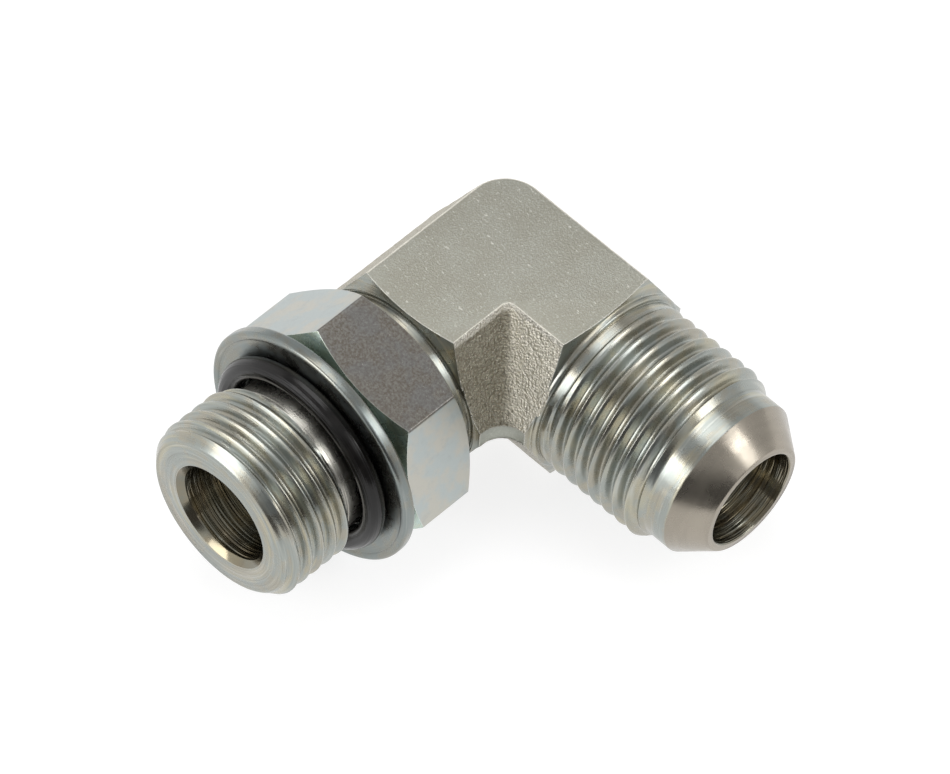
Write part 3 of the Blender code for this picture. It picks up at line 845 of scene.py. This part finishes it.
# %% Turned steel
ZINC_YELLOW = (0.470, 0.435, 0.310, 1)
FLECK_GREY = (0.27, 0.26, 0.22, 1)
BARE_STEEL = (0.345, 0.312, 0.262, 1)
# A painted light: the neck's colour is painted brighter than the turned steel round it.
NECK_PAINTED_LIGHT = (0.60, 0.585, 0.53, 1)
NO_TONE = (1.0, 1.0, 1.0)


def turned_steel(name, axis, ring_depth=0.010, roughness=(0.20, 0.32), tint=0.5, wear=0.6,
                 tone=NO_TONE, bare_and_shade_from=None, feed=1.0, lines=0.6, painted_light_span=None,
                 bare_and_shade_colour=BARE_STEEL):
    """Turned and plated steel about one axis.

    Past the place given for bare steel the zinc is gone on the sealing cone, and on the rear of
    the nut the colour given there is a painted shade. Between the two places given for the neck
    the steel is painted brighter, a painted light. The tone multiplies the finished colour.
    """
    steel = Finish(name)
    if axis == "X":
        along, across = steel.x, steel.join(0.0, steel.y, steel.z)
        axis_line = (1, 0, 0)
    else:
        along, across = steel.y, steel.join(steel.x, 0.0, steel.z)
        axis_line = (0, 1, 0)
    distance = steel.vector("LENGTH", across)
    travel = steel.math("ADD", along, distance)
    slow = steel.vector("MULTIPLY", across, (0.12, 0.12, 0.12))

    def rings(frequency, detail, offset=0.0):
        """Noise that changes quickly with the tool's travel and slowly round the axis."""
        reach = steel.math("MULTIPLY_ADD", travel, frequency, offset)
        return steel.noise(1.0, detail, 0.6, at=steel.vector("ADD", steel.join(reach, 0.0, 0.0), slow))

    fine = rings(5.0 * feed, 2.0)
    wide = rings(2.4 * feed, 2.0, 7.0)
    bands = rings(0.9, 3.0, 19.0)
    fleck = steel.noise(3.6, 3.0, 0.62)
    smear = steel.noise(0.5, 3.0, 0.6)

    colour = steel.mix(steel.ramp(steel.math("ADD", bands, smear), 0.82, 1.14), STEEL_WARM, STEEL_COOL)
    yellow = steel.math("MULTIPLY", steel.ramp(rings(1.3, 2.0, 41.0), 0.52, 0.68), tint)
    colour = steel.mix(yellow, colour, ZINC_YELLOW)
    colour = steel.mix(steel.ramp(fine, 0.40, 0.25, 0, 0.30), colour, STEEL_BROWN)
    colour = steel.mix(steel.ramp(wide, 0.56, 0.74, 0, 0.25), colour, STEEL_BRIGHT)
    colour = steel.mix(steel.ramp(fleck, 0.62, 0.78, 0, 0.30), colour, FLECK_GREY)
    # Past the given place the colour is replaced: bare steel on the sealing cone, and a painted shade on
    # the rear of the nut.
    if bare_and_shade_from is not None:
        bare = steel.ramp(along, bare_and_shade_from - 0.04, bare_and_shade_from + 0.04)
        colour = steel.mix(bare, colour, bare_and_shade_colour)
    rounded, lean = steel.edges(0.06)
    worn = steel.math("MULTIPLY", steel.ramp(lean, 0.004, 0.05), wear)
    colour = steel.mix(worn, colour, STEEL_BRIGHT)
    # Painted light: between the two places given for the neck the steel is painted brighter.
    if painted_light_span is not None:
        neck = steel.math("MULTIPLY", steel.ramp(along, painted_light_span[0] - 0.1, painted_light_span[0] + 0.1),
                          steel.ramp(along, painted_light_span[1] + 0.1, painted_light_span[1] - 0.1))
        colour = steel.mix(neck, colour, NECK_PAINTED_LIGHT)
    line = steel.ramp(steel.math("ADD", fine, wide), 0.75, 1.25, 1 - 0.16 * lines, 1 + 0.10 * lines)
    line = steel.vector("MULTIPLY", steel.join(line, line, line), tone)
    steel.set(steel.shader.inputs["Base Color"], steel.vector("MULTIPLY", colour, line))
    steel.shader.inputs["Metallic"].default_value = 1.0
    steel.set(steel.shader.inputs["Roughness"], steel.ramp(smear, 0.3, 0.7, *roughness))
    around = steel.vector("CROSS_PRODUCT", axis_line, across)
    around = steel.add("ShaderNodeVectorTransform", {0: around}, vector_type="VECTOR",
                       convert_from="OBJECT", convert_to="WORLD").outputs[0]
    true = steel.add("ShaderNodeNewGeometry").outputs["True Normal"]
    steel.set(steel.shader.inputs["Tangent"], steel.vector("CROSS_PRODUCT", around, true))
    steel.shader.inputs["Anisotropic"].default_value = 0.6
    tool_marks = steel.math("ADD", steel.math("MULTIPLY", fine, 0.5), steel.math("MULTIPLY", wide, 0.5))
    lined = steel.bump(tool_marks, ring_depth, 1.0, rounded)
    steel.set(steel.shader.inputs["Normal"], steel.bump(fleck, 0.006, 0.5, lined))
    return steel.material


print("bare steel", BARE_STEEL[:3], "polished neck", NECK_PAINTED_LIGHT[:3])

# %% [markdown]
# ## Materials of the elbow
#
# The two turned ends share one recipe about their own axes. The sealing cone is cut again
# after plating, so it is bare and a little warmer, and the neck under the seal ring is
# painted brighter, a painted light. A drill leaves deeper rings than a lathe tool does, and
# the inside of a bore is painted darker, a painted shade.

# %% Materials of the elbow
# A painted shade: this tone darkens the inside of both bores.
BORE_PAINTED_SHADE = (0.66, 0.61, 0.54)
turned_steel("turned_flare_end", "X", 0.028, (0.23, 0.32), bare_and_shade_from=FLARE_CONE_START, lines=0.4)
turned_steel("turned_stud_end", "Y", 0.034, (0.23, 0.32), painted_light_span=(-FRONT_START - 0.02, -REAR_END))
turned_steel("drilled_flare_bore", "X", 0.22, (0.16, 0.26), tone=BORE_PAINTED_SHADE, feed=0.55)
turned_steel("drilled_stud_bore", "Y", 0.22, (0.16, 0.26), tone=BORE_PAINTED_SHADE, feed=0.55)
print("elbow finishes:", [finish.name for finish in elbow.data.materials])

# %% [markdown]
# ## Nut steel
#
# The flats of the nut keep the skin of drawn hexagon bar: finely mottled and a little pitted,
# with bright worn edges. The zinc took differently from flat to flat. Most of them are pale
# and bluish, and one came out brown and dull. The turned ends are smoother. Both ends are
# tinted after the photograph: they are painted lighter and blue-green, a painted light, and
# the rear one is painted brown, a painted shade where it faces the block.

# %% Nut steel
ZINC_PALE = (0.520, 0.510, 0.460, 1)
ZINC_BLUE = (0.462, 0.505, 0.500, 1)
STAIN_BLUE = (0.415, 0.440, 0.435, 1)
MOTTLE_GREY = (0.38, 0.38, 0.35, 1)
DULL_BROWN = (0.140, 0.124, 0.104, 1)
DULL_GREY = (0.232, 0.224, 0.206, 1)
DULL_BLUE = (0.190, 0.200, 0.210, 1)
SCALE_DARK = (0.100, 0.088, 0.070, 1)
SCALE_BRIGHT = (0.520, 0.510, 0.480, 1)
# A painted light: this tone paints both turned ends of the nut lighter and blue-green.
NUT_ENDS_PAINTED_LIGHT = (1.50, 1.72, 1.70)
# A painted shade: this brown is painted on the rear end of the nut, where it faces the block.
NUT_REAR_PAINTED_SHADE = (0.193, 0.151, 0.112, 1)
WASHER_TONE = (0.72, 0.75, 0.78)


def drawn_flats():
    flats = Finish("drawn_hexagon_flats")
    mottle = flats.noise(3.8, 5.0, 0.72)
    fleck = flats.noise(6.0, 3.0, 0.65)
    cloud = flats.noise(0.35, 3.0, 0.6)
    scratch = flats.noise(1.0, 2.0, 0.5, at=flats.vector("MULTIPLY", flats.place, (5.0, 0.5, 5.0)))
    facing = math.radians(NUT_TURN + 60)
    brown_flat = flats.vector("DOT_PRODUCT", flats.place, (math.cos(facing), 0, math.sin(facing)))
    brown = flats.ramp(brown_flat, NUT_FLATS - 0.30, NUT_FLATS - 0.10)

    pale = flats.mix(flats.ramp(cloud, 0.40, 0.60), ZINC_PALE, ZINC_BLUE)
    stain = flats.ramp(flats.noise(0.8, 4.0, 0.65, at=flats.shifted(9, 4, 2)), 0.52, 0.68, 0, 0.40)
    pale = flats.mix(stain, pale, STAIN_BLUE)
    pale = flats.mix(flats.ramp(mottle, 0.55, 0.75, 0, 0.25), pale, MOTTLE_GREY)
    dull = flats.mix(flats.ramp(mottle, 0.38, 0.64), DULL_BROWN, DULL_GREY)
    dull = flats.mix(flats.ramp(cloud, 0.45, 0.62, 0, 0.35), dull, DULL_BLUE)
    dull = flats.mix(flats.ramp(fleck, 0.56, 0.72, 0, 0.50), dull, SCALE_DARK)
    dull = flats.mix(flats.ramp(fleck, 0.36, 0.27, 0, 0.60), dull, SCALE_BRIGHT)
    colour = flats.mix(brown, pale, dull)
    rounded, lean = flats.edges(0.10)
    colour = flats.mix(flats.ramp(lean, 0.004, 0.05, 0, 0.7), colour, STEEL_BRIGHT)
    flats.set(flats.shader.inputs["Base Color"], colour)
    flats.shader.inputs["Metallic"].default_value = 1.0
    flats.set(flats.shader.inputs["Roughness"], flats.ramp(mottle, 0.3, 0.7, 0.42, 0.32))
    height = flats.math("ADD", flats.math("MULTIPLY", fleck, 0.5), flats.math("MULTIPLY", scratch, 0.3))
    flats.set(flats.shader.inputs["Normal"], flats.bump(height, 0.03, 0.9, rounded))
    return flats.material


drawn_flats()
# Painted light on both turned ends of the nut, and painted shade on its rear half.
turned_steel("turned_nut_ends", "Y", 0.015, (0.22, 0.32), tint=0.2, tone=NUT_ENDS_PAINTED_LIGHT,
             bare_and_shade_from=-(NUT_REAR + NUT_FRONT) / 2, bare_and_shade_colour=NUT_REAR_PAINTED_SHADE)
washer.data.materials.append(turned_steel("turned_washer", "Y", 0.010, (0.24, 0.34), tint=0.1,
                                          tone=WASHER_TONE, lines=0.3))
print("nut and washer finishes:", [finish.name for item in (nut, washer) for finish in item.data.materials])

# %% [markdown]
# ## Seal rubber
#
# Nitrile rubber is a soft black with a satin skin. It isn't evenly black: the mould leaves a
# faint grain, and oil and handling leave duller patches.

# %% Rubber
RUBBER_BLACK = (0.0040, 0.0034, 0.0032, 1)
RUBBER_BROWN = (0.0080, 0.0068, 0.0062, 1)


def seal_rubber():
    rubber = Finish("seal_rubber")
    patches = rubber.noise(0.8, 3.0, 0.6)
    grain = rubber.noise(9.0, 2.0, 0.6)
    radius = rubber.vector("LENGTH", rubber.join(rubber.x, 0.0, rubber.z))
    reach = rubber.math("MULTIPLY", rubber.math("ADD", radius, rubber.y), 2.6)
    around = rubber.vector("MULTIPLY", rubber.place, (0.06, 0.0, 0.06))
    creases = rubber.noise(1.0, 2.0, 0.5, at=rubber.vector("ADD", rubber.join(reach, 0.0, 0.0), around))
    colour = rubber.mix(rubber.ramp(patches, 0.35, 0.65), RUBBER_BLACK, RUBBER_BROWN)
    rubber.set(rubber.shader.inputs["Base Color"], colour)
    rubber.set(rubber.shader.inputs["Roughness"], rubber.ramp(patches, 0.3, 0.7, 0.11, 0.20))
    rubber.shader.inputs["IOR"].default_value = 1.38
    creased = rubber.bump(creases, 0.16, 0.7)
    rubber.set(rubber.shader.inputs["Normal"], rubber.bump(grain, 0.010, 0.7, creased))
    return rubber.material


seal.data.materials.append(seal_rubber())
print("seal rubber:", len(seal.data.materials[0].node_tree.nodes), "nodes")

# %% [markdown]
# ## Joining the skins to the frame
#
# Each skin stands for one CAD node and rides on that node's body, so that turning the nut
# also moves the washer and the ring along the stud, as the thread does.

# %% Ride on the bodies
for item, node, body, slot in ((elbow, "elbow_body", "elbow", "block_steel"),
                               (nut, "lock_nut", "nut", "nut_steel"),
                               (washer, "backup_washer", "seal_stack", "washer_steel"),
                               (seal, "o_ring", "seal_stack", "seal_rubber")):
    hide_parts(node)
    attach(item, body)
    print(item.name, "stands for", node, "and rides on", body)

# %% [markdown]
# ## Camera
#
# The camera is a long lens far away, looking down from the front right. It is turned a little
# about its own axis, because the real part leans on its washer's rim: the rim is wider than
# the block is thick.

# %% Camera
AZIMUTH, ELEVATION, ROLL = (math.radians(a) for a in (40.230, 53.393, 5.146))
CAMERA_PLACE = Vector((291.7406, -347.4741, 595.9326 + AXIS_HEIGHT))
LENS, SENSOR_WIDTH = 297.5186, 36
back = Vector((math.sin(AZIMUTH) * math.cos(ELEVATION),
               -math.cos(AZIMUTH) * math.cos(ELEVATION), math.sin(ELEVATION)))
level = Vector((math.cos(AZIMUTH), math.sin(AZIMUTH), 0))
upright = back.cross(level)
right = level * math.cos(ROLL) + upright * math.sin(ROLL)
up = back.cross(right)
pose = Matrix((right, up, back)).transposed().to_4x4()
pose.translation = CAMERA_PLACE * MM

camera_data = bpy.data.cameras.new("camera")
camera_data.lens = LENS
camera_data.sensor_width = SENSOR_WIDTH
camera_data.clip_start = 0.05
camera_data.clip_end = 10
camera = bpy.data.objects.new("camera", camera_data)
bpy.context.scene.collection.objects.link(camera)
camera.matrix_world = pose
bpy.context.scene.camera = camera
print(f"camera {pose.translation.length:.3f} m from the part")

# %% [markdown]
# ## Floor and light
#
# The part was photographed on a white table inside white cloth, with large soft lamps. The
# floor is a white plane that touches the washer's rim and the far edge of the lower pad, as
# the table did. Metal shows what is round it, so the white room gives the pale faces, and
# grey cards on the camera's side, which the camera itself doesn't see, give the dark ones.

# %% Floor
LEAN = math.atan2(WASHER_OUTER - AXIS_HEIGHT, WASHER_FRONT - RIM_ROUND + PAD_OUTER)


def plain_white(name, seen, lit):
    """A white surface that the camera and mirrors see as white, and that still takes shadow."""
    finish = Finish(name)
    finish.tree.nodes.remove(finish.shader)
    diffuse = finish.add("ShaderNodeBsdfDiffuse", {"Color": (lit, lit, lit, 1)})
    glow = finish.add("ShaderNodeEmission", {"Color": (1, 1, 1, 1), "Strength": seen})
    path = finish.add("ShaderNodeLightPath")
    direct = finish.math("MAXIMUM", path.outputs["Is Camera Ray"], path.outputs["Is Glossy Ray"])
    direct = finish.math("MAXIMUM", direct, path.outputs["Is Transmission Ray"])
    both = finish.add("ShaderNodeAddShader", {0: diffuse.outputs[0], 1: glow.outputs[0]})
    choice = finish.add("ShaderNodeMixShader", {0: direct, 1: diffuse.outputs[0], 2: both.outputs[0]})
    output = finish.tree.nodes["Material Output"]
    finish.tree.links.new(choice.outputs[0], output.inputs["Surface"])
    return finish.material


def stage_plane(name, corners, finish):
    """A flat stage piece from four corners."""
    mesh = bpy.data.meshes.new(name)
    mesh.from_pydata(corners, [], [(0, 1, 2, 3)])
    mesh.materials.append(finish)
    item = bpy.data.objects.new(name, mesh)
    bpy.context.scene.collection.objects.link(item)
    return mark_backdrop(item) or item


def square(half, height):
    """Corners of a level square over the origin."""
    return [(-half, -half, height), (half, -half, height), (half, half, height), (-half, half, height)]


FLOOR_HALF = 2.0
TABLE_SEEN, TABLE_LIT = 0.80, 0.30
SINK = 0.00005
floor = stage_plane("floor", square(FLOOR_HALF, 0), plain_white("white_table", TABLE_SEEN, TABLE_LIT))
touch = Vector((0, -(WASHER_FRONT - RIM_ROUND), AXIS_HEIGHT - WASHER_OUTER)) * MM
floor.matrix_world = (Matrix.Translation(touch) @ Matrix.Rotation(LEAN, 4, "X")
                      @ Matrix.Translation((0, 0, -SINK)))
print(f"floor leans {math.degrees(LEAN):.2f} degrees")

# %% [markdown]
# ## White room
#
# The room round the table is white for the camera and for reflections alike. It lights matt
# surfaces a little less, as cloth walls do.

# %% World
WALL_LIGHT = 0.6
world = bpy.data.worlds.new("white_room")
bpy.context.scene.world = world
world.use_nodes = True
nodes, links = world.node_tree.nodes, world.node_tree.links
background = nodes["Background"]
background.inputs["Color"].default_value = (1, 1, 1, 1)
path = nodes.new("ShaderNodeLightPath")
seen = nodes.new("ShaderNodeMath")
seen.operation = "MAXIMUM"
links.new(path.outputs["Is Camera Ray"], seen.inputs[0])
links.new(path.outputs["Is Glossy Ray"], seen.inputs[1])
also = nodes.new("ShaderNodeMath")
also.operation = "MAXIMUM"
links.new(seen.outputs[0], also.inputs[0])
links.new(path.outputs["Is Transmission Ray"], also.inputs[1])
strength = nodes.new("ShaderNodeMapRange")
links.new(also.outputs[0], strength.inputs["Value"])
strength.inputs["To Min"].default_value = WALL_LIGHT
strength.inputs["To Max"].default_value = 1.0
links.new(strength.outputs[0], background.inputs["Strength"])
print("walls: seen as 1.0, lighting matt surfaces at", WALL_LIGHT)

# %% [markdown]
# ## Lamps
#
# Three soft square lamps make the bright stripes that run along every cylinder: one high up,
# one low at the front left and one at the back right. The camera itself doesn't see them.

# %% Lamps
AIM = Vector((0.006, -0.012, 0.008))


def lamp(name, direction, distance, size, brightness):
    """A soft square lamp that faces the part; its brightness is 1 for paper white."""
    data = bpy.data.lights.new(name, "AREA")
    data.size = size
    data.energy = brightness * math.pi * size * size
    item = bpy.data.objects.new(name, data)
    item.location = AIM + Vector(direction).normalized() * distance
    item.rotation_euler = (AIM - item.location).to_track_quat("-Z", "Y").to_euler()
    item.visible_camera = False
    bpy.context.scene.collection.objects.link(item)
    return item


lamp("high_lamp", (-0.235, 0.135, 0.963), 0.70, 0.44, 2.2)
lamp("front_left_lamp", (-0.36, -0.82, 0.43), 0.65, 0.36, 3.4)
lamp("back_right_lamp", (0.654, 0.377, 0.656), 0.65, 0.25, 4.3)

# %% [markdown]
# ## Cards
#
# Bright stripes need something dark beside them. A grey ceiling, a dark card low on the
# camera's right, a smaller side card next to it and a grey wall behind the part give that,
# and a white reflector low at the front brightens the seal ring and the lower threads. All
# but the flat ceiling are bent round the part, and each glows evenly, so its grey doesn't
# depend on the lamps. The cards only show in reflections: they neither shade the table nor
# hide the part in a view.

# %% Cards
def glowing(name, level):
    """An even grey for a card, whatever lights it."""
    finish = bpy.data.materials.new(name)
    finish.use_nodes = True
    tree = finish.node_tree
    glow = tree.nodes.new("ShaderNodeEmission")
    glow.inputs["Color"].default_value = (level, level, level, 1)
    tree.links.new(glow.outputs[0], tree.nodes["Material Output"].inputs["Surface"])
    return finish


def mirror_only(item):
    """Show a card in reflections and nowhere else."""
    item.visible_camera = False
    item.visible_diffuse = False
    item.visible_shadow = False
    item.visible_transmission = False
    return item


CEILING_HALF, CEILING_HEIGHT = 1.3, 1.1
CARD_STEPS = 24
mirror_only(stage_plane("ceiling", square(CEILING_HALF, CEILING_HEIGHT), glowing("grey_ceiling", 0.55)))


def curved_card(name, radius, low, high, start, end, level):
    """A card bent round the part, from one height and bearing to another."""
    bearings = np.radians(np.linspace(start, end, CARD_STEPS + 1))
    points = [(AIM.x + radius * math.cos(a), AIM.y + radius * math.sin(a), z)
              for z in (low, high) for a in bearings]
    faces = [(i, i + 1, i + CARD_STEPS + 2, i + CARD_STEPS + 1) for i in range(CARD_STEPS)]
    mesh = bpy.data.meshes.new(name)
    mesh.from_pydata(points, [], faces)
    mesh.materials.append(glowing(name, level))
    item = bpy.data.objects.new(name, mesh)
    bpy.context.scene.collection.objects.link(item)
    return mirror_only(item)


curved_card("dark_card", 0.16, -0.012, 0.115, -80, -4, 0.12)
curved_card("bounce_card", 0.30, -0.030, 0.040, -134, -86, 1.70)
curved_card("side_card", 0.16, -0.012, 0.075, -4, 20, 0.34)
curved_card("wall_card", 0.60, -0.100, 0.500, 48, 178, 0.70)

# %% [markdown]
# ## Finish
#
# The last cell sets the view transform to Standard.

# %% Finish
bpy.context.scene.view_settings.view_transform = "Standard"
